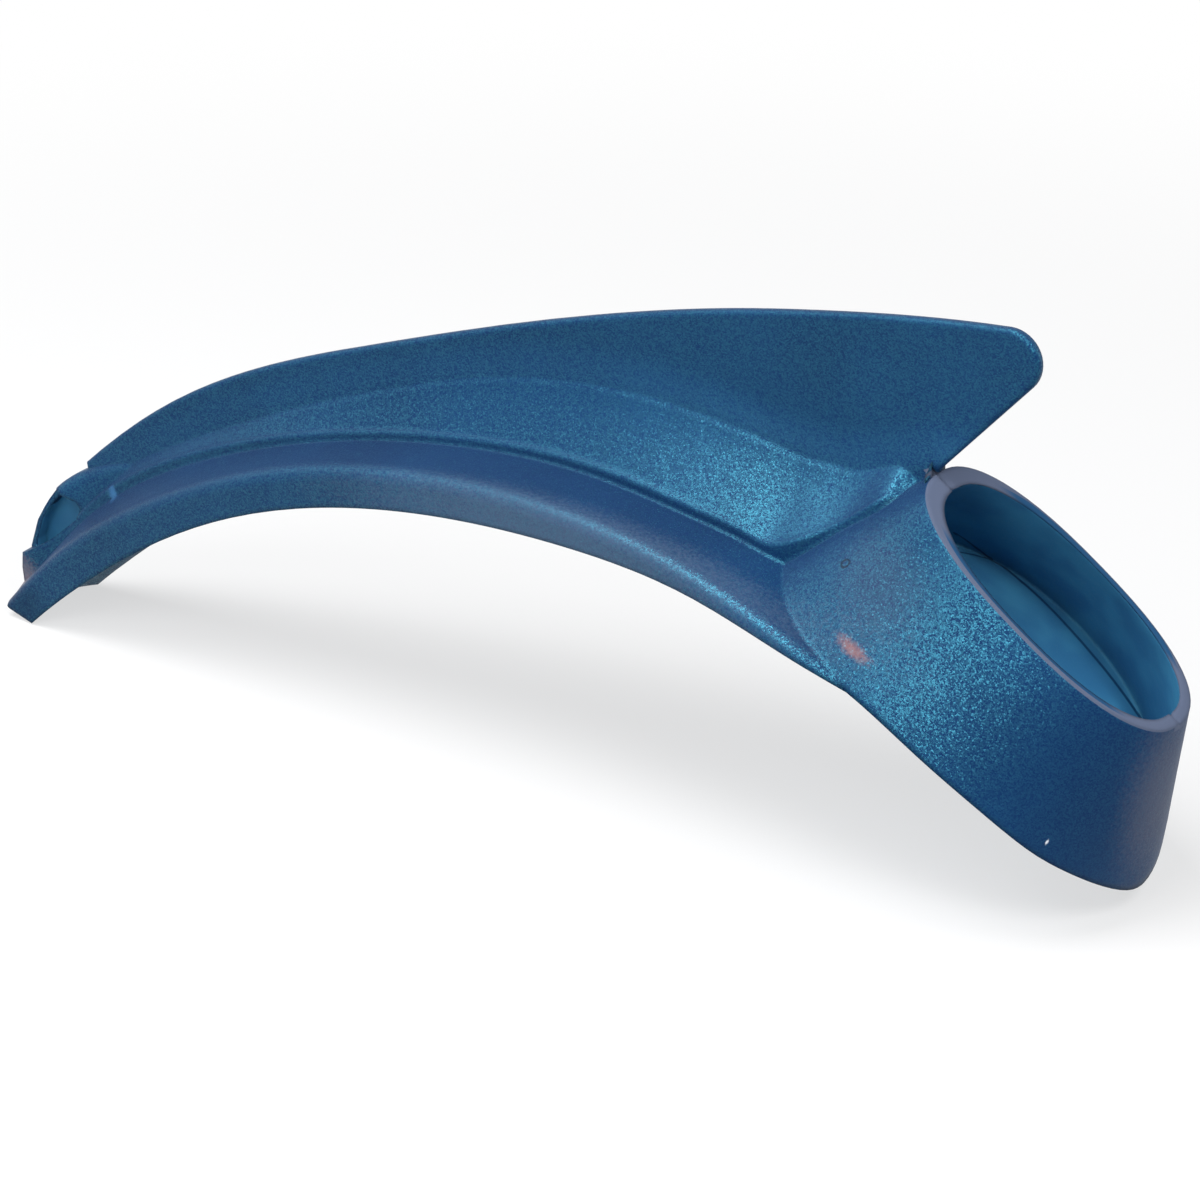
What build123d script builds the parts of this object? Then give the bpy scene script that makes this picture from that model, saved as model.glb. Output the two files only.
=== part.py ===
from build123d import *
import os
from math import cos, radians, sin, sqrt

# Slip-on fin for an inflatable boat, one hollow plastic moulding.
# X runs from the narrow end to the collar, Z is up, and the blade stands in the plane Y = 0.
# All lengths are in millimetres.

# wall
WALL = 3.0
SADDLE_WALL = 2.6

# side view of the saddle: lower edge, shoulder of the side strip, root of the fin
UNDERSIDE = [(-238, -26), (-217.5, -1), (-190, 23), (-146, 54), (-100, 76), (-49, 90.5), (1, 97.3),
             (43, 98.5), (83, 94.5), (109, 87.7), (143, 77.3), (161.5, 67.2), (178.5, 55.6),
             (193.3, 43.2), (206.4, 30.2), (214.2, 21.3), (219.8, 12), (222, 5.5), (224, -2)]
SHOULDER = [(-240, -6), (-222, 12), (-204, 32), (-175, 54), (-147, 70.5), (-119, 84), (-67, 101.5),
            (-20, 109), (20, 110.5), (60, 107), (87, 100.8), (110, 93.3), (132, 84), (150, 74.6),
            (162, 67.5), (172, 61)]
ROOT = [(-240, 3), (-221, 20), (-187, 54), (-161, 69.5), (-134, 82), (-84, 98.5), (-34, 109),
        (14, 113), (60, 109.5), (99, 103)]
ROOT_ENDS_X = 99.0
UNDERSIDE_STATIONS = [-238, -215, -190, -160, -120, -70, -20, 30, 80, 115, 145, 170, 190, 205, 214,
                      219, 223.5]
TOE_FLAT_X = 212.0
TOE_FLAT_Z = 6.4
UNDERSIDE_CROWN = 7.0
CROWN_ENDS_X = 205.0

# plan view of the saddle
NARROW_X = -226.0
NARROW_HALF_WIDTH = 19.0
WIDE_X = 140.0
WIDE_HALF_WIDTH = 57.2
SIDES_PARALLEL_X = 156.0
SHOULDER_RADIUS = 5.0
SADDLE_HOLLOW_ENDS_X = 65.0
SADDLE_STATIONS = [-239, -205, -170, -130, -85, -35, 20, 65, 99, 125, 147, 165]
END_CUT = [(-217.5, -1), (-230.3, 2.3), (-231.5, 13), (-231, 20), (-226.5, 34), (-222, 41.5),
           (-217.5, 46), (-209.5, 54.5), (-203.5, 60)]

# hollow flare between the saddle and the blade
FLARE_STATIONS = [-239, -205, -170, -135, -100, -65, -30, 5, 40, 68, 84, 93, 101, 109, 119, 130, 141]
FLARE_HOLLOW_STATIONS = [-160, -130, -100, -65, -30, 5, 40, 68, 84, 93, 101, 110]
FLARE_HALF_WIDTH = [(-240, 5.5), (-190, 6), (-110, 8.6), (-59, 11.2), (15, 16.5), (70, 21.6),
                    (94, 23.4), (101, 22.2), (110, 18.3), (126, 12), (142, 6.6)]
FLARE_TOP = [(-240, 14), (-190, 62), (-150, 84), (-122, 98), (-80, 117), (-33, 133), (6, 139.5),
             (40, 140), (72, 136), (94, 131.5), (112, 131), (128, 134.8), (142, 140.5)]
COLLAR_ROOT = [(94, 103.2), (110.5, 111), (127, 122.2), (140, 132.5)]
FLARE_STEP = 1.6
FLARE_LIP = 1.8

# blade
BLADE_THICKNESS = 4.0
BLADE_EDGE_RADIUS = 1.4
LEADING_EDGE = [(-203.5, 59.5), (-187, 74.3), (-165, 91), (-122, 114.4), (-73, 133.3), (-27, 149.3),
                (14, 162), (66, 175.1), (99, 181.3), (134, 186.6)]
TRAILING_FOOT = (143.5, 136.5)
BLADE_FOOT = [(138, 122), (99, 100), (14, 107), (-84, 92), (-161, 63), (-200, 36)]
TIP_CENTRE = (166.5, 178.6)
TIP_RADIUS = 11.2
TRAILING_ANGLE = 48.0

# hollow end of the ridge with its trimmed hole
BOSS_STATIONS = [(-237, 14, 6.2), (-228, 30, 6.6), (-216, 47.5, 6.2), (-203, 57, 4.8), (-191, 62, 3.6),
                 (-176, 64, 2.1)]
BOSS_WALL = 2.2
HOLE = [(-240, 17), (-229.5, 19.5), (-218.3, 26.8), (-205.9, 37.8), (-204.7, 42), (-206.4, 44.4),
        (-211.8, 45.5), (-216, 47.5), (-240, 56)]

# collar: the rim is a squarish oval and the base an ellipse, each in a sloping plane
RIM_CENTRE_X = 187.0
RIM_CENTRE_Z = 101.5
RIM_SLOPE = 36.4
RIM_HALF_LENGTH = 55.7
RIM_HALF_WIDTH = 29.1
RIM_SQUARENESS = 2.4
BASE_CENTRE_X = 159.2
BASE_CENTRE_Z = 62.0
BASE_SLOPE = 33.2
BASE_HALF_LENGTH = 77.0
BASE_HALF_WIDTH = 61.0
COLLAR_BELOW_BASE = 1.32
RIM_WALL_FRONT = 7.5
RIM_WALL_BACK = 4.5
RIM_WALL_SIDE = 2.6
SEAM_GROOVE_DEPTH = 1.6
SEAM_GROOVE_HALF_WIDTH = 2.6


def height(points, x):
    # height of the smooth line through the points, above the place x
    line = Spline(*[(p[0], 0, p[1]) for p in points])
    low, high = 0.0, 1.0
    for _ in range(36):
        middle = (low + high) / 2
        if line.position_at(middle).X < x:
            low = middle
        else:
            high = middle
    return line.position_at((low + high) / 2).Z


def steepness(points, x):
    # how much longer a vertical cut through a wall is than the wall is thick
    rise = (height(points, x + 2) - height(points, x - 2)) / 4
    return sqrt(1 + rise * rise)


def straight(points, x):
    # value on the straight lines between the points
    for (x0, v0), (x1, v1) in zip(points, points[1:]):
        if x <= x1:
            break
    return v0 + (v1 - v0) * (x - x0) / (x1 - x0)


def half_width(x):
    # half the saddle's width, growing evenly to the collar
    share = (min(x, SIDES_PARALLEL_X) - NARROW_X) / (WIDE_X - NARROW_X)
    return NARROW_HALF_WIDTH + (WIDE_HALF_WIDTH - NARROW_HALF_WIDTH) * share


def root_height(x):
    # where the flare leaves the saddle or, behind its widest place, the collar
    if x <= ROOT_ENDS_X:
        return height(ROOT, x)
    return straight(COLLAR_ROOT, x)


def cross_section(x, half_outline):
    # closed face across the part at x, from the lines of its right half, bottom to top
    edges = []
    for side, outline in ((1, half_outline), (-1, half_outline[::-1])):
        for kind, points in outline:
            places = [(x, side * y, z) for y, z in points]
            if side < 0:
                places.reverse()
            if kind == "line":
                edges.append(Line(*places))
            if kind == "arc":
                edges.append(ThreePointArc(*places))
            if kind == "bezier":
                edges.append(Bezier(*places))
        if side > 0:
            y, z = half_outline[-1][1][-1]
            edges.append(Line((x, y, z), (x, -y, z)))
    y, z = half_outline[0][1][0]
    if y > 0.001:
        edges.append(Line((x, -y, z), (x, y, z)))
    return Face(Wire(edges))


def corner(y, z, radius, y_way, z_way):
    # rounding of a square corner at (y, z); the ways point from the corner to the centre
    middle = radius * (1 - sqrt(0.5))
    return [(y, z + z_way * radius), (y + y_way * middle, z + z_way * middle),
            (y + y_way * radius, z)]


def underside_section(x, raised):
    # everything below the saddle at x, its top a flat parabola that leaves room for the hull
    low = height(UNDERSIDE, x) + raised * steepness(UNDERSIDE, x)
    crown = 0.3 + UNDERSIDE_CROWN * min(1, max(0, (CROWN_ENDS_X - x) / 80))
    reach = 1.35 * half_width(x)
    side = low + crown * (1 - 1.35 ** 2)
    apex = 2 * (low + crown) - side
    return Face(Wire([
        Line((x, -reach, -200), (x, reach, -200)),
        Line((x, reach, -200), (x, reach, side)),
        Bezier((x, reach, side), (x, 0, apex), (x, -reach, side)),
        Line((x, -reach, side), (x, -reach, -200)),
    ]))


def below_saddle(raised):
    return loft([underside_section(x, raised) for x in UNDERSIDE_STATIONS])


def saddle_section(x, inset):
    # side strip with a round shoulder, ledge rising to the flare
    width = half_width(x) - inset
    shoulder = height(SHOULDER, x) - inset * steepness(SHOULDER, x)
    middle = max(height(ROOT, min(x, ROOT_ENDS_X)) - inset * steepness(SHOULDER, x), shoulder + 0.3)
    if x > ROOT_ENDS_X:
        middle = shoulder + 0.3
    low = height(UNDERSIDE, x) - 12
    upper = corner(width, shoulder, SHOULDER_RADIUS - inset, -1, -1)
    return cross_section(x, [
        ("line", [(0, low), (width, low)]),
        ("line", [(width, low), upper[0]]),
        ("arc", upper),
        ("line", [upper[2], (3, middle)]),
    ])


def saddle():
    return loft([saddle_section(x, 0) for x in SADDLE_STATIONS])


def saddle_hollow():
    # in front of the collar the two walls of the saddle are pinched together
    return loft([saddle_section(x, WALL) for x in SADDLE_STATIONS if x <= SADDLE_HOLLOW_ENDS_X])


def flare_section(x, inset):
    # foot with a small step and a rounded lip, then a hollow flank that runs up into the blade
    foot = straight(FLARE_HALF_WIDTH, x) - inset
    root = root_height(x) - inset
    top = straight(FLARE_TOP, x) - 2.2 * inset
    lip = min(FLARE_LIP, 0.5 * foot)
    rise = top - root - FLARE_STEP - lip
    neck = min(1.2, 0.4 * foot)
    return cross_section(x, [
        ("line", [(0, root - 9), (foot, root - 9)]),
        ("line", [(foot, root - 9), (foot, root + FLARE_STEP)]),
        ("bezier", [(foot, root + FLARE_STEP), (foot, root + FLARE_STEP + 0.8 * lip),
                    (foot - lip, root + FLARE_STEP + lip)]),
        ("bezier", [(foot - lip, root + FLARE_STEP + lip),
                    (neck + 0.12 * foot, root + FLARE_STEP + lip + 0.66 * rise), (neck, top)]),
    ])


def flare():
    return loft([flare_section(x, 0) for x in FLARE_STATIONS])


def flare_hollow():
    return loft([flare_section(x, WALL) for x in FLARE_HOLLOW_STATIONS])


def side_profile(points, depth, y=0):
    # prism with this outline in the side view
    outline = Polyline(*[(px, y, pz) for px, pz in points], close=True)
    return extrude(Face(Wire(outline.edges())), depth, dir=(0, 1, 0))


def blade():
    # thin plate: curved leading edge, round tip, straight trailing edge, foot hidden in the flare
    a = radians(TRAILING_ANGLE)
    tip_x, tip_z = TIP_CENTRE
    top = (tip_x - 0.5, 0, tip_z + TIP_RADIUS)
    nose = (tip_x + TIP_RADIUS * cos(radians(20)), 0, tip_z + TIP_RADIUS * sin(radians(20)))
    back = (tip_x + TIP_RADIUS * sin(a), 0, tip_z - TIP_RADIUS * cos(a))
    edge = [(x, 0, z) for x, z in LEADING_EDGE] + [top]
    foot = [(x, 0, z) for x, z in BLADE_FOOT]
    trailing = (TRAILING_FOOT[0], 0, TRAILING_FOOT[1])
    outline = [Spline(*edge), ThreePointArc(top, nose, back), Line(back, trailing),
               Polyline(trailing, *foot), Line(foot[-1], edge[0])]
    plate = extrude(Face(Wire([e for part in outline for e in part.edges()])),
                    BLADE_THICKNESS / 2, dir=(0, 1, 0), both=True)
    sides = plate.faces().sort_by(Axis.Y)
    return fillet(sides[0].edges() + sides[-1].edges(), BLADE_EDGE_RADIUS)


def boss_section(x, top, half, inset):
    # hollow end of the ridge, upright sides and a round top
    half = half - inset
    top = top - 1.6 * inset
    low = height(ROOT, max(x, -238)) - 8 + inset
    return cross_section(x, [
        ("line", [(0, low), (half, low)]),
        ("line", [(half, low), (half, top - half)]),
        ("bezier", [(half, top - half), (half, top), (0.35 * half, top)]),
    ])


def boss():
    return loft([boss_section(x, top, half, 0) for x, top, half in BOSS_STATIONS])


def boss_hollow():
    return loft([boss_section(x, top, half, BOSS_WALL) for x, top, half in BOSS_STATIONS[1:-1]])


def ring(centre_x, centre_z, slope, half_length, half_width_y, squareness):
    # smooth oval in a plane that falls towards the back; squareness 2 is an ellipse
    s = radians(slope)
    places = []
    for k in range(24):
        along = cos(radians(15 * k))
        across = sin(radians(15 * k))
        u = half_length * abs(along) ** (2 / squareness) * (1 if along > 0 else -1)
        v = half_width_y * abs(across) ** (2 / squareness) * (1 if across > 0 else -1)
        places.append((centre_x + u * cos(s), v, centre_z - u * sin(s)))
    return Face(Wire(Spline(*places, periodic=True)))


def collar_ring(share, rim_front, rim_back, rim_side, base_wall):
    # ring at a share of the way from the rim (0) to the base (1) and beyond
    s = radians(RIM_SLOPE)
    shift = (rim_front - rim_back) / 2
    rim = (RIM_CENTRE_X + shift * cos(s), RIM_CENTRE_Z - shift * sin(s), RIM_SLOPE,
           RIM_HALF_LENGTH - (rim_front + rim_back) / 2, RIM_HALF_WIDTH - rim_side, RIM_SQUARENESS)
    base = (BASE_CENTRE_X, BASE_CENTRE_Z, BASE_SLOPE,
            BASE_HALF_LENGTH - base_wall, BASE_HALF_WIDTH - base_wall, 2)
    return ring(*[r + (b - r) * share for r, b in zip(rim, base)])


def collar():
    return loft([collar_ring(share, 0, 0, 0, 0) for share in (COLLAR_BELOW_BASE, 1, 0)],
                ruled=True)


def collar_hollow():
    # upright below the base, so that it meets the saddle's hollow at a clear angle
    walls = (RIM_WALL_FRONT, RIM_WALL_BACK, RIM_WALL_SIDE)
    return loft([collar_ring(COLLAR_BELOW_BASE, *walls, WALL + 8), collar_ring(1, *walls, WALL),
                 collar_ring(-0.08, *walls, WALL)], ruled=True)


def end_cutter():
    far = [(-209, 80), (-290, 80), (-290, -90), (END_CUT[0][0], -90)]
    return Pos(0, -60, 0) * side_profile(END_CUT + far, 120)


def ground_cutter():
    # the lowest point of the collar's toe is trimmed flat
    return Pos(TOE_FLAT_X + 40, 0, TOE_FLAT_Z - 40) * Box(80, 160, 80)


def hollow():
    # inside of the moulding: saddle, flare, ridge end and collar are one space
    inside = saddle_hollow() + flare_hollow() + collar_hollow() + boss_hollow()
    inside = inside - below_saddle(SADDLE_WALL)
    return inside - Pos(WALL, 0, WALL) * end_cutter()


def seam_groove(end, depth):
    # V-shaped groove where the mould's parting line crosses the cut lip; end is -1 or 1
    s = radians(RIM_SLOPE)
    plane = Plane(origin=(RIM_CENTRE_X, 0, RIM_CENTRE_Z), x_dir=(cos(s), 0, -sin(s)),
                  z_dir=(sin(s), 0, cos(s)))
    start = RIM_HALF_LENGTH + 3
    across = Plane(origin=plane.from_local_coords(Vector(end * start, 0, 0)),
                   x_dir=(0, 1, 0), z_dir=plane.x_dir * (-end))
    side = 1 if across.y_dir.Z > 0 else -1
    wedge = Polyline((-SEAM_GROOVE_HALF_WIDTH, side * 1), (SEAM_GROOVE_HALF_WIDTH, side * 1),
                     (0, -side * depth), close=True)
    return extrude(across * Face(Wire(wedge.edges())), 16, dir=plane.x_dir * (-end))


def fin():
    body = saddle() + flare() + blade() + boss() + collar()
    body = body - below_saddle(0) - end_cutter() - ground_cutter() - hollow()
    body = body - side_profile(HOLE, 12, y=-13)
    for end, depth in ((-1, SEAM_GROOVE_DEPTH), (1, 0.5 * SEAM_GROOVE_DEPTH)):
        body = body - seam_groove(end, depth)
    return body


os.makedirs("parts", exist_ok=True)
part = fin()

# the origin is under the middle of the part, at its lowest point
points = part.tessellate(0.2)[0]
left = min(point.X for point in points)
right = max(point.X for point in points)
lowest = min(point.Z for point in points)
part = Pos(-(left + right) / 2, 0, -lowest) * part

export_step(part, "parts/fin.step")
print("fin", round(part.volume / 1000, 1), "cm3", len(part.faces()), "faces", part.is_valid)
print("moved", round(-(left + right) / 2, 2), round(-lowest, 2), "length", round(right - left, 1))
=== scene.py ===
import math
import bpy
from mathutils import Matrix, Vector

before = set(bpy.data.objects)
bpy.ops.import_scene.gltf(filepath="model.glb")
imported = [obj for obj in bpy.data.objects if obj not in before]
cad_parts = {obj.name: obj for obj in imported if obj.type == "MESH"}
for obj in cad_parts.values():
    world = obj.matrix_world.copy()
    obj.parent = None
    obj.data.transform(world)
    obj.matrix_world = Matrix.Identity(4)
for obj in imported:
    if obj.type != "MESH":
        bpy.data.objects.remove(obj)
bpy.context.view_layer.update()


class Wire:
    # output of a shader node; an expression on wires adds its Math nodes
    def __init__(self, graph, socket):
        self.graph = graph
        self.socket = socket

    def output(self, name):
        # another output of the same node
        return Wire(self.graph, self.socket.node.outputs[name])

    def __add__(self, other):
        return self.graph.math("ADD", self, other)

    def __radd__(self, other):
        return self.graph.math("ADD", other, self)

    def __sub__(self, other):
        return self.graph.math("SUBTRACT", self, other)

    def __rsub__(self, other):
        return self.graph.math("SUBTRACT", other, self)

    def __mul__(self, other):
        return self.graph.math("MULTIPLY", self, other)

    def __rmul__(self, other):
        return self.graph.math("MULTIPLY", other, self)

    def __truediv__(self, other):
        return self.graph.math("DIVIDE", self, other)

    def __pow__(self, other):
        return self.graph.math("POWER", self, other)

    def __abs__(self):
        return self.graph.math("ABSOLUTE", self)

    def __gt__(self, other):
        return self.graph.math("GREATER_THAN", self, other)

    def __lt__(self, other):
        return self.graph.math("LESS_THAN", self, other)


class Graph:
    # nodes of one material or of the world
    def __init__(self, owner):
        owner.use_nodes = True
        self.owner = owner
        self.tree = owner.node_tree
        self.tree.nodes.clear()

    def node(self, kind, settings=None, sockets=None, output=0):
        # settings first, then the values or links of the sockets, by name or number
        made = self.tree.nodes.new(kind)
        for key, value in (settings or {}).items():
            if key == "points":
                self.bend(made.mapping, value)
            else:
                setattr(made, key, value)
        for key, value in (sockets or {}).items():
            if isinstance(value, Wire):
                self.tree.links.new(value.socket, made.inputs[key])
            else:
                made.inputs[key].default_value = value
        return Wire(self, made.outputs[output] if made.outputs else None)

    def bend(self, mapping, places):
        # a Float Curve starts with two points, its ends
        line = mapping.curves[0].points
        line[0].location = places[0]
        line[1].location = places[-1]
        for along, height in places[1:-1]:
            line.new(along, height)
        mapping.extend = "HORIZONTAL"
        mapping.update()

    def math(self, operation, *values):
        return self.node("ShaderNodeMath", {"operation": operation}, dict(enumerate(values)))

    def vector(self, operation, *values):
        output = "Value" if operation in ("DOT_PRODUCT", "LENGTH") else "Vector"
        return self.node("ShaderNodeVectorMath", {"operation": operation}, dict(enumerate(values)), output)

    def parts(self, vector):
        # the three numbers of a vector
        apart = self.node("ShaderNodeSeparateXYZ", None, {"Vector": vector})
        return [apart.output(axis) for axis in "XYZ"]

    def coords(self, name):
        return self.node("ShaderNodeTexCoord", output=name)

    def noise(self, place, size, detail):
        sockets = {"Vector": place, "Scale": 1 / size, "Detail": detail}
        return self.node("ShaderNodeTexNoise", None, sockets)

    def spot(self, place, mark):
        # distance from the middle of a mark, 1 at its edge
        turn = (0, math.radians(mark["turn"]), 0)
        sockets = {"Vector": place, "Location": mark["middle"], "Rotation": turn, "Scale": mark["size"]}
        return self.vector("LENGTH", self.node("ShaderNodeMapping", {"vector_type": "TEXTURE"}, sockets))

    def smooth(self, value, low, high):
        # 0 below low, 1 above high, soft in between
        sockets = {"Value": value, "From Min": low, "From Max": high}
        return self.node("ShaderNodeMapRange", {"interpolation_type": "SMOOTHSTEP"}, sockets)

    def curve(self, value, places):
        # height of the smooth line through the places; its node wants them between 0 and 1
        shifted = [(along + 0.5, height) for along, height in places]
        return self.node("ShaderNodeFloatCurve", {"points": shifted}, {"Value": value + 0.5})

    def mix(self, factor, a, b):
        # colour a where the factor is 0, colour b where it is 1
        return self.node("ShaderNodeMix", {"data_type": "RGBA"}, {0: factor, 6: a, 7: b}, 2)

    def blend(self, factor, a, b):
        # the same for two shaders
        return self.node("ShaderNodeMixShader", None, {0: factor, 1: a, 2: b})

    def finish(self, kind, shader):
        self.node(kind, None, {"Surface": shader})
        return self.owner


# sizes in metres, colours in linear light
finLook = {
    # navy plastic
    "deepBlue": (0.0018, 0.018, 0.068, 1),
    "midBlue": (0.0028, 0.025, 0.086, 1),
    "cloudSize": 1 / 18,
    "roughness": 0.45,
    "gloss": 0.05,
    # painted reflection: the sheen is a grey reflection mixed into the colour at grazing angles
    "sheen": (0.100, 0.108, 0.140, 1),
    "sheenShare": 0.15,
    "peelSize": 0.0035,
    "peelDepth": 0.00012,
    "peelStrength": 0.6,
    "softEdge": 0.0025,
    # metallic flakes, fewer towards the toe of the collar as painted shade there
    "flakeBlue": (0.043, 0.214, 0.286, 1),
    "flakeRoughness": 0.30,
    "flakeShare": 0.185,
    "flakeSpread": 0.36,
    "flakeSize": 0.00045,
    "flakeTilt": 0.36,
    "collarPaintedShade": 0.65,
    "collarPaintedShadeFrom": 0.125,
    "collarPaintedShadeTo": 0.185,
    # soft foot of the blade above the flare
    "blendHeight": 0.020,
    "blendSlope": 0.36,
    "bladeFoot": [(-0.205, 0.0460), (-0.170, 0.0725), (-0.135, 0.0910), (-0.100, 0.1068),
                  (-0.065, 0.1205), (-0.030, 0.1317), (0.005, 0.1377), (0.040, 0.1385),
                  (0.068, 0.1353), (0.093, 0.1308), (0.109, 0.1304), (0.130, 0.1353), (0.141, 0.1402)],
    # inside of the moulding, its teal painted lighter as painted light in the shaded hollows
    "teal": (0.044, 0.200, 0.352, 1),
    "darkTeal": (0.031, 0.144, 0.287, 1),
    "blotchSize": 0.022,
    "insideRoughness": 0.30,
    "insideFlakes": 0.3,
    # dark fold on the floor of the collar, a painted shade line: place along the fin, distance from its
    # middle plane
    "foldLine": [(0.1276, 0.0382), (0.1314, 0.0426), (0.1359, 0.0478), (0.1512, 0.0480),
                 (0.1673, 0.0467), (0.1774, 0.0455), (0.1860, 0.0445), (0.1967, 0.0430)],
    "foldWidth": 0.0010,
    "foldShadeShare": 0.8,
    "foldTurnsUp": 0.138,
    "foldEnds": 0.2,
    # cut lip
    "cutGrey": (0.072, 0.090, 0.140, 1),
    "cutTurned": (0.012, 0.052, 0.120, 1),
    "cutRoughness": 0.6,
    # marks of use, painted reflections and painted shade, with edges broken up by a fine grain
    "grainSize": 1 / 900,
    "grainShare": 0.9,
    "markFade": (0.2, 1.05),
    "wornAndPaintedFlakes": 0.8,
}

# marks of use, painted reflections and painted shade: middle, half sizes along, through and across the
# mark, turn in the side view
marks = {
    # painted reflection: an orange reflection on the foot of the collar
    "orangeReflection": {"middle": (0.1380, -0.0475, 0.0910), "size": (0.0095, 0.0080, 0.0026), "turn": 21,
            "colour": (0.330, 0.120, 0.070, 1), "share": 0.48},
    # curl: a small hooked nick, painted dark together with the shade it casts, partly real mark and partly
    # painted shade
    "curl": {"middle": (0.1245, -0.0288, 0.1104), "size": (0.0022, 0.0040, 0.0014), "turn": -25,
             "colour": (0.004, 0.010, 0.025, 1), "share": 0.85, "ring": 0.7, "thinness": 3.0},
    "speck": {"middle": (0.2063, -0.0406, 0.0377), "size": (0.0005, 0.0020, 0.0013), "turn": 20,
              "colour": (0.600, 0.640, 0.680, 1), "share": 0.9},
    "nick": {"middle": (-0.1885, -0.0078, 0.0536), "size": (0.0030, 0.0060, 0.0034), "turn": 0,
             "colour": (0.060, 0.190, 0.400, 1), "share": 0.6},
    # partly painted reflection: a mauve-grey reflection on the left of the collar, with rub marks in it
    "mauveReflectionAndWear": {"middle": (0.1400, -0.0330, 0.1070), "size": (0.0260, 0.0280, 0.0210), "turn": 30,
             "colour": (0.130, 0.110, 0.130, 1), "share": 0.10},
    # lighter and greyer along the middle of the near side
    "greyerBand": {"middle": (-0.0100, -0.0470, 0.0960), "size": (0.1900, 0.0160, 0.0400), "turn": 0,
             "colour": (0.120, 0.165, 0.230, 1), "share": 0.32},
    "end": {"middle": (-0.2330, -0.0080, 0.0110), "size": (0.0110, 0.0130, 0.0150), "turn": -60,
            "colour": (0.190, 0.155, 0.175, 1), "share": 0.6},
    # darker at the bottom of the narrow end
    "darkerNarrowEnd": {"middle": (-0.2220, -0.0190, 0.0040), "size": (0.0200, 0.0060, 0.0120), "turn": -45,
              "colour": (0.003, 0.014, 0.040, 1), "share": 0.55},
    # painted reflection: a grey reflection on the right end of the collar
    "rightEdgeReflection": {"middle": (0.2290, -0.0060, 0.0440), "size": (0.0120, 0.0260, 0.0420), "turn": 8,
              "colour": (0.170, 0.150, 0.150, 1), "share": 0.22},
}

# mouth of the collar: middle, slope and half sizes of the rim, taken to the middle of its wall,
# and how these change down to the base
mouth = {
    "x": 0.1876,
    "z": 0.1019,
    "slope": 36.4,
    "halfLength": 0.0527,
    "halfWidth": 0.0278,
    "squareness": 2.4,
    "baseDepth": 0.0483,
    "baseTilt": 0.056,
    "longer": 0.0213,
    "wider": 0.0319,
    "rounder": -0.4,
    "insideFrom": 0.0006,
    "insideTo": 1.08,
    "floorTo": 1.7,
    "cutDepth": 0.0005,
    "grooveDepth": 0.0016,
    "grooveHalfWidth": 0.0032,
    "outerEdge": 1.35,
    "turnedIn": 0.01,
    "turnedInFar": 0.06,
}

# trimmed window at the narrow end, and how far a face must lean to be an inner one
window = {"endsX": -0.19, "inward": 0.0006, "forward": 0.3, "down": -0.6}
facesUp = 0.3
fillSteepness = 1.8


def mouthMasks(g, place, upward):
    # 1 on the faces inside the collar, 1 on its cut lip, 1 on the part of the lip that turns in
    x, y, z = g.parts(place)
    x = x - mouth["x"]
    z = z - mouth["z"]
    slope = math.radians(mouth["slope"])
    along = math.cos(slope) * x - math.sin(slope) * z
    depth = (-math.sin(slope)) * x - math.cos(slope) * z
    share = depth / (mouth["baseDepth"] - mouth["baseTilt"] * along)
    grown = g.math("MINIMUM", share, 1.0)
    power = mouth["squareness"] + mouth["rounder"] * grown
    u = (abs(along) / (mouth["halfLength"] + mouth["longer"] * grown)) ** power
    v = (abs(y) / (mouth["halfWidth"] + mouth["wider"] * grown)) ** power
    onFloor = (upward > facesUp) * (share < mouth["floorTo"])
    above = g.math("MAXIMUM", share < mouth["insideTo"], onFloor)
    inside = (u + v < 1.0) * (depth > mouth["insideFrom"]) * above
    cutEnds = mouth["cutDepth"] + mouth["grooveDepth"] * (abs(y) < mouth["grooveHalfWidth"])
    cut = (depth > -mouth["cutDepth"]) * (depth < cutEnds) * (u + v < mouth["outerEdge"])
    # along the sides the cut edge turns in, on the far side more than on the near one
    turnedIn = mouth["turnedIn"] + mouth["turnedInFar"] * (y > 0.0)
    lip = (u + v < 1.0 + turnedIn * g.smooth(v, 0.45, 0.85)) * g.smooth(v, 0.35, 0.60)
    return inside, cut, lip


def windowMask(g, place, facing):
    # 1 on the faces inside the trimmed window at the narrow end
    x, y, z = g.parts(place)
    faceX, faceY, faceZ = g.parts(facing)
    inward = g.math("MAXIMUM", y * faceY < -window["inward"], faceX > window["forward"])
    return inward * (x < window["endsX"]) * (faceZ > window["down"])


def addMarks(g, place, colour):
    # colour with the marks of use and the painted reflections and shade on it, and how much of the flakes
    # they hide
    grain = g.noise(place, finLook["grainSize"], 3.0)
    low, high = finLook["markFade"]
    wornAndPainted = 0.0
    for mark in marks.values():
        reach = g.spot(place, mark)
        if "ring" in mark:
            reach = abs(reach - mark["ring"]) * mark["thinness"]
        hold = 1.0 - g.smooth(reach + finLook["grainShare"] * (grain - 0.5), low, high)
        colour = g.mix(hold * mark["share"], colour, mark["colour"])
        wornAndPainted = g.math("MAXIMUM", wornAndPainted, hold * mark["share"])
    return colour, wornAndPainted


def foldShadeMask(g, x, y, upward):
    # 1 on the painted shade along the fold that runs over the floor of the collar
    width = finLook["foldWidth"]
    offFold = abs(abs(y) - g.curve(x, finLook["foldLine"]))
    fold = 1.0 - g.smooth(offFold, 0.4 * width, width)
    onFloor = g.math("MAXIMUM", upward > facesUp, x < finLook["foldTurnsUp"])
    return fold * onFloor * (x > finLook["foldLine"][0][0]) * (x < finLook["foldEnds"])


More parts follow.
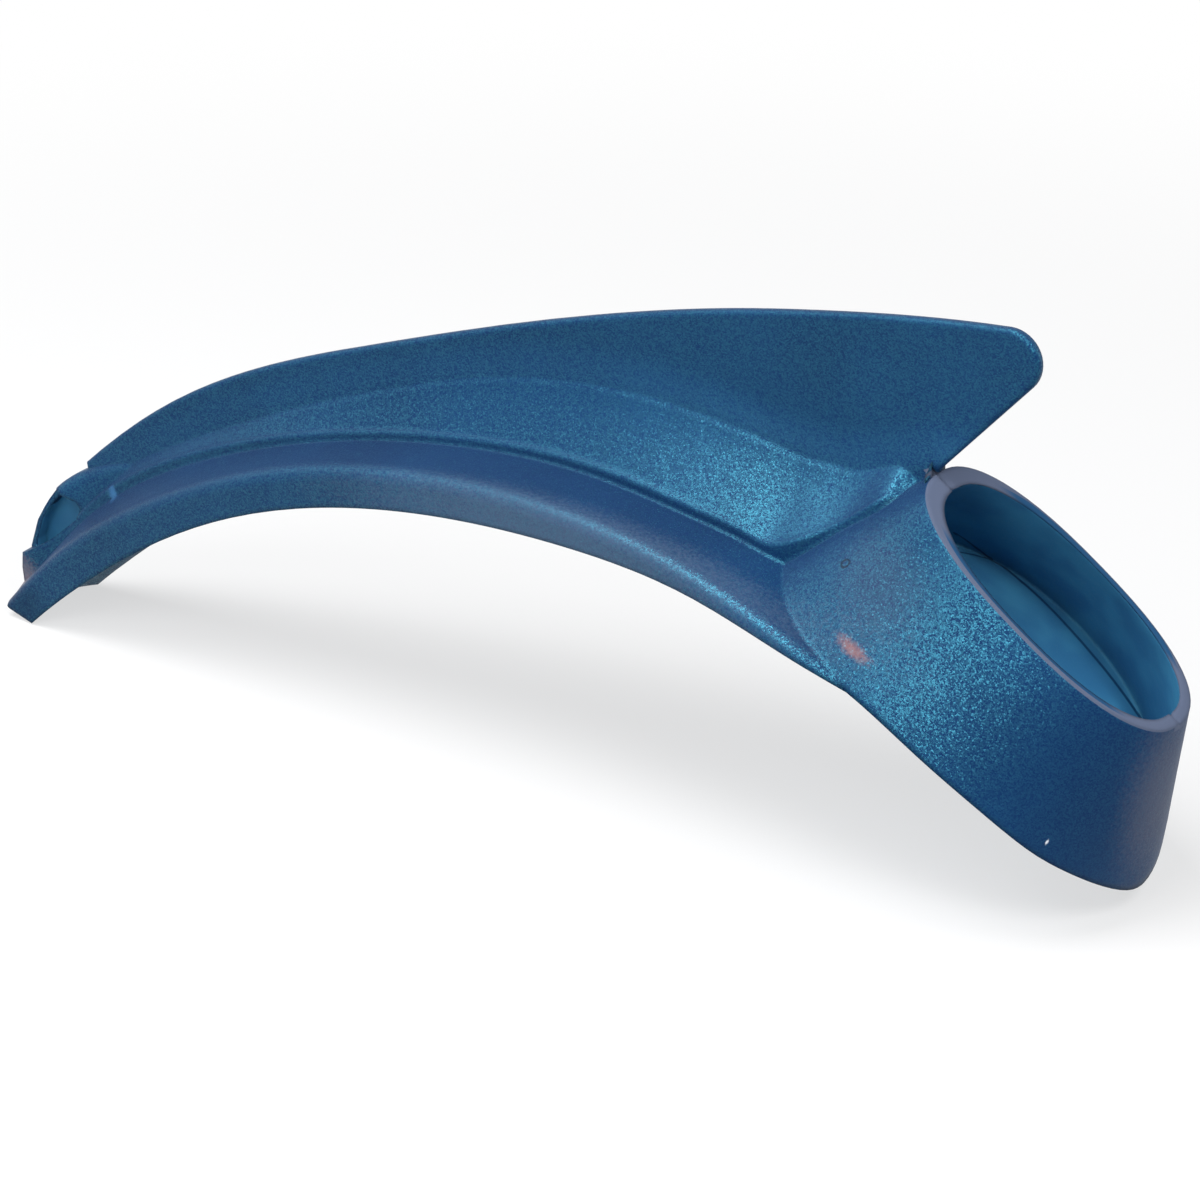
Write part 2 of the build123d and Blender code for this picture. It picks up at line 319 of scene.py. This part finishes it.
def makeShell():
    g = Graph(bpy.data.materials.new("fin shell"))
    place = g.coords("Object")
    facing = g.coords("Normal")
    x, y, z = g.parts(place)
    upward = g.parts(facing)[2]
    inside, cut, lip = mouthMasks(g, place, upward)
    inside = g.math("MAXIMUM", inside, windowMask(g, place, facing))
    grazing = g.node("ShaderNodeLayerWeight", None, {"Blend": 0.35}, "Facing") * finLook["sheenShare"]

    # soft edges, soft foot of the blade and orange peel
    climb = (z - g.curve(x, finLook["bladeFoot"]) + finLook["softEdge"]) / finLook["blendHeight"]
    climb = g.math("MINIMUM", g.math("MAXIMUM", climb, 0.0), 1.0)
    fill = (1.0 - climb) ** 3.0 * (1.0 + 3.0 * climb)
    edges = g.node("ShaderNodeBevel", {"samples": 6}, {"Radius": finLook["softEdge"]})
    fillet = g.node("ShaderNodeBump", None, {
        "Height": fill, "Strength": 1.0, "Normal": edges,
        "Distance": finLook["blendSlope"] * finLook["blendHeight"] / fillSteepness})
    skin = g.node("ShaderNodeBump", None, {
        "Height": g.noise(place, finLook["peelSize"], 2.0), "Strength": finLook["peelStrength"],
        "Distance": finLook["peelDepth"], "Normal": fillet})

    # each flake is one cell with its own lightness and its own tilt
    flakes = g.node("ShaderNodeTexVoronoi", None, {"Vector": place, "Scale": 1 / finLook["flakeSize"]},
                    "Color")
    flakeLight = g.node("ShaderNodeSeparateColor", None, {"Color": flakes})
    lean = g.vector("SUBTRACT", flakes, (0.5, 0.5, 0.5))
    offMiddle = g.vector("SUBTRACT", place, flakes.output("Position"))
    tilted = g.node("ShaderNodeBump", None, {
        "Height": g.vector("DOT_PRODUCT", offMiddle, lean), "Strength": 1.0,
        "Distance": finLook["flakeTilt"], "Normal": skin})

    cloud = g.noise(place, finLook["cloudSize"], 3.0)
    navy = g.mix(g.smooth(cloud, 0.3, 0.7), finLook["deepBlue"], finLook["midBlue"])
    # painted reflection: grey sheen mixed into the navy at grazing angles
    navy = g.mix(grazing, navy, finLook["sheen"])
    navy, wornAndPainted = addMarks(g, place, navy)
    # painted light: the teal inside the collar and the window is lighter than the shade there would leave
    # it
    blotch = g.noise(place, finLook["blotchSize"], 2.0)
    teal = g.mix(g.smooth(blotch, 0.38, 0.62), finLook["darkTeal"], finLook["teal"])
    # painted shade along the fold on the collar's floor
    teal = g.mix(foldShadeMask(g, x, y, upward) * finLook["foldShadeShare"], teal, finLook["deepBlue"])
    edge = g.mix(lip, finLook["cutGrey"], finLook["cutTurned"])
    colour = g.mix(cut, g.mix(inside, navy, teal), edge)
    roughness = finLook["roughness"] + inside * (finLook["insideRoughness"] - finLook["roughness"])
    roughness = roughness + cut * (finLook["cutRoughness"] - finLook["roughness"])
    plastic = g.node("ShaderNodeBsdfPrincipled", None, {
        "Base Color": colour, "Roughness": roughness, "Normal": skin,
        "Specular IOR Level": finLook["gloss"]})
    # painted reflection: the flakes also turn to the grey sheen at grazing angles
    flake = g.node("ShaderNodeBsdfPrincipled", None, {
        "Base Color": g.mix(grazing, finLook["flakeBlue"], finLook["sheen"]), "Metallic": 1.0,
        "Roughness": finLook["flakeRoughness"], "Normal": tilted})

    share = finLook["flakeShare"] + finLook["flakeSpread"] * (flakeLight - 0.5)
    # painted shade: fewer flakes towards the toe of the collar darken it there
    toeShade = g.smooth(x - 0.5 * z, finLook["collarPaintedShadeFrom"], finLook["collarPaintedShadeTo"])
    toeShade = 1.0 - finLook["collarPaintedShade"] * toeShade
    kept = (1.0 - (1.0 - finLook["insideFlakes"]) * inside) * (1.0 - cut)
    kept = kept * (1.0 - finLook["wornAndPaintedFlakes"] * wornAndPainted)
    return g.finish("ShaderNodeOutputMaterial", g.blend(share * kept * toeShade, plastic, flake))


shell = makeShell()
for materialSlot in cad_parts["fin"].material_slots:
    materialSlot.material = shell
print("shell done,", len(shell.node_tree.nodes), "nodes")


# the shadow fades out between the two distances, so that the floor is white around it
floorLook = {
    "colour": (0.60, 0.60, 0.60, 1),
    "size": 6.0,
    "drop": 0.0005,
    "shadow": 0.38,
    "shadowFadesFrom": 0.30,
    "shadowFadesTo": 0.80,
    "white": (1, 1, 1, 1),
}


def seenRays(g, toCamera=1.0):
    # rays that show the background: to the camera, off gloss and through glass
    rays = g.node("ShaderNodeLightPath", output="Is Camera Ray")
    seen = g.math("MAXIMUM", rays * toCamera, rays.output("Is Glossy Ray"))
    return g.math("MAXIMUM", seen, rays.output("Is Transmission Ray"))


def makeFloor():
    bpy.ops.mesh.primitive_plane_add(size=floorLook["size"], location=(0, 0, -floorLook["drop"]))
    floor = bpy.context.object
    floor.name = "floor"
    g = Graph(bpy.data.materials.new("floor"))
    away = g.vector("LENGTH", g.coords("Object"))
    shaded = 1.0 - g.smooth(away, floorLook["shadowFadesFrom"], floorLook["shadowFadesTo"])
    seen = seenRays(g, 1.0 - floorLook["shadow"] * shaded)
    dull = g.node("ShaderNodeBsdfDiffuse", None, {"Color": floorLook["colour"]})
    white = g.node("ShaderNodeEmission", None, {"Color": floorLook["white"], "Strength": 1.0})
    floor.data.materials.append(g.finish("ShaderNodeOutputMaterial", g.blend(seen, dull, white)))
    print("floor done")


# sky colour, point that the lamps look at, and each lamp's name, place, size and power in watts
lightLook = {
    "sky": (0.16, 0.17, 0.19, 1),
    "aim": (0, 0, 0.1),
    "lamps": [
        ("front above", (0.08, -1.2, 0.98), 0.7, 11),
        ("above", (-0.32, -0.41, 1.45), 1.0, 30),
        ("left", (-1.50, -0.20, 0.95), 0.8, 4.5),
        ("right back", (1.4, 0.8, 0.5), 0.8, 7),
        ("right above", (0.79, -0.5, 0.88), 0.35, 8),
    ],
}


def addLamp(name, place, size, power):
    bpy.ops.object.light_add(type="AREA", location=place)
    lamp = bpy.context.object
    lamp.name = name
    lamp.data.size = size
    lamp.data.energy = power
    lamp.rotation_mode = "QUATERNION"
    lamp.rotation_quaternion = (Vector(place) - Vector(lightLook["aim"])).to_track_quat("Z", "Y")


def makeLight():
    bpy.context.scene.world = bpy.data.worlds.new("studio")
    g = Graph(bpy.context.scene.world)
    colour = g.mix(seenRays(g), lightLook["sky"], floorLook["white"])
    sky = g.node("ShaderNodeBackground", None, {"Color": colour, "Strength": 1.0})
    g.finish("ShaderNodeOutputWorld", sky)
    for lamp in lightLook["lamps"]:
        addLamp(*lamp)
    print("light done,", len(lightLook["lamps"]), "lamps")


# angles in degrees, lens and sensor in millimetres
cameraLook = {
    "azimuth": 32.0,
    "elevation": 25.0,
    "distance": 1.7,
    "aim": (0.0138, 0.0, 0.05875),
    "lens": 150.0,
    "sensor": 36.0,
}


def makeCamera():
    a = math.radians(cameraLook["azimuth"])
    e = math.radians(cameraLook["elevation"])
    back = Vector((math.sin(a) * math.cos(e), -math.cos(a) * math.cos(e), math.sin(e)))
    right = Vector((math.cos(a), math.sin(a), 0))
    up = back.cross(right)
    bpy.ops.object.camera_add()
    camera = bpy.context.object
    camera.data.lens = cameraLook["lens"]
    camera.data.sensor_width = cameraLook["sensor"]
    turned = Matrix((right, up, back)).transposed().to_4x4()
    stand = Vector(cameraLook["aim"]) + back * cameraLook["distance"]
    camera.matrix_world = Matrix.Translation(stand) @ turned
    bpy.context.scene.camera = camera
    print("camera done")


makeFloor()
makeLight()
makeCamera()
bpy.context.scene.view_settings.view_transform = "Standard"
